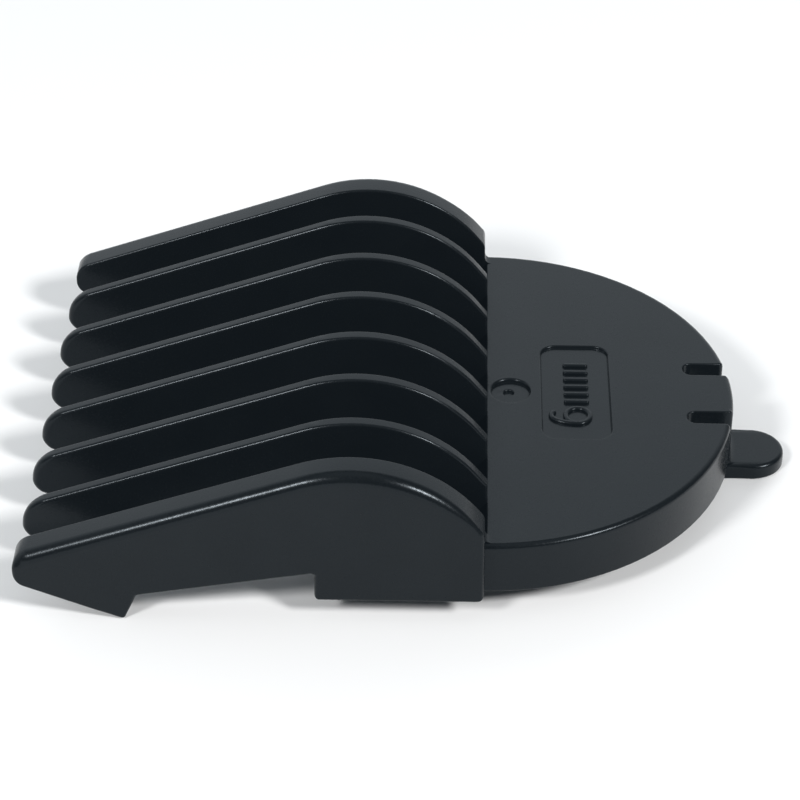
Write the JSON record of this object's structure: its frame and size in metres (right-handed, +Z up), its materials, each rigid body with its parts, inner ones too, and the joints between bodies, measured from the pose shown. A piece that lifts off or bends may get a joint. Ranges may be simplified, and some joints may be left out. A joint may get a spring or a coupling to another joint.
{
  "type": "hair clipper guide comb",
  "caption": "Clip-on guide comb for a hair clipper, with ramped teeth, blade hooks, a half-round back plate with a rim, and a flexing snap tongue with a pull tab.",
  "frame": {"origin": "on the surface that the comb lies on, under the middle of its outline", "axes": "+X from the tooth tips to the pull tab, +Y across the comb to its right side, +Z up to the side that faces the skin"},
  "size_m": [0.061, 0.0428, 0.0141],
  "materials": {
    "comb_plastic": "satin"
  },
  "bodies": {
    "comb": {"tooth_1": "comb_plastic", "tooth_2": "comb_plastic", "tooth_3": "comb_plastic", "tooth_4": "comb_plastic", "tooth_5": "comb_plastic", "tooth_6": "comb_plastic", "hook_1": "comb_plastic", "hook_2": "comb_plastic", "hook_3": "comb_plastic", "hook_4": "comb_plastic", "hook_5": "comb_plastic", "hook_6": "comb_plastic", "side_wall_left": "comb_plastic", "side_wall_right": "comb_plastic", "side_hook_left": "comb_plastic", "side_hook_right": "comb_plastic", "side_skirt_left": "comb_plastic", "side_skirt_right": "comb_plastic", "root_floor": "comb_plastic", "blade_stop": "comb_plastic", "root_riser": "comb_plastic", "back_plate": "comb_plastic", "rim_left": "comb_plastic", "rim_right": "comb_plastic"},
    "tongue": {"tongue_plate": "comb_plastic", "tongue_wall": "comb_plastic", "snap_catch": "comb_plastic", "pull_tab": "comb_plastic"}
  },
  "joints": [
    {"name": "tongue_flex", "type": "hinge", "parent": "comb", "child": "tongue", "pos_m": [0.0223, 0, 0.00605], "axis": [0, -1, 0], "range_deg": [0, 10], "stiffness_Nm_per_rad": 0.3}
  ]
}
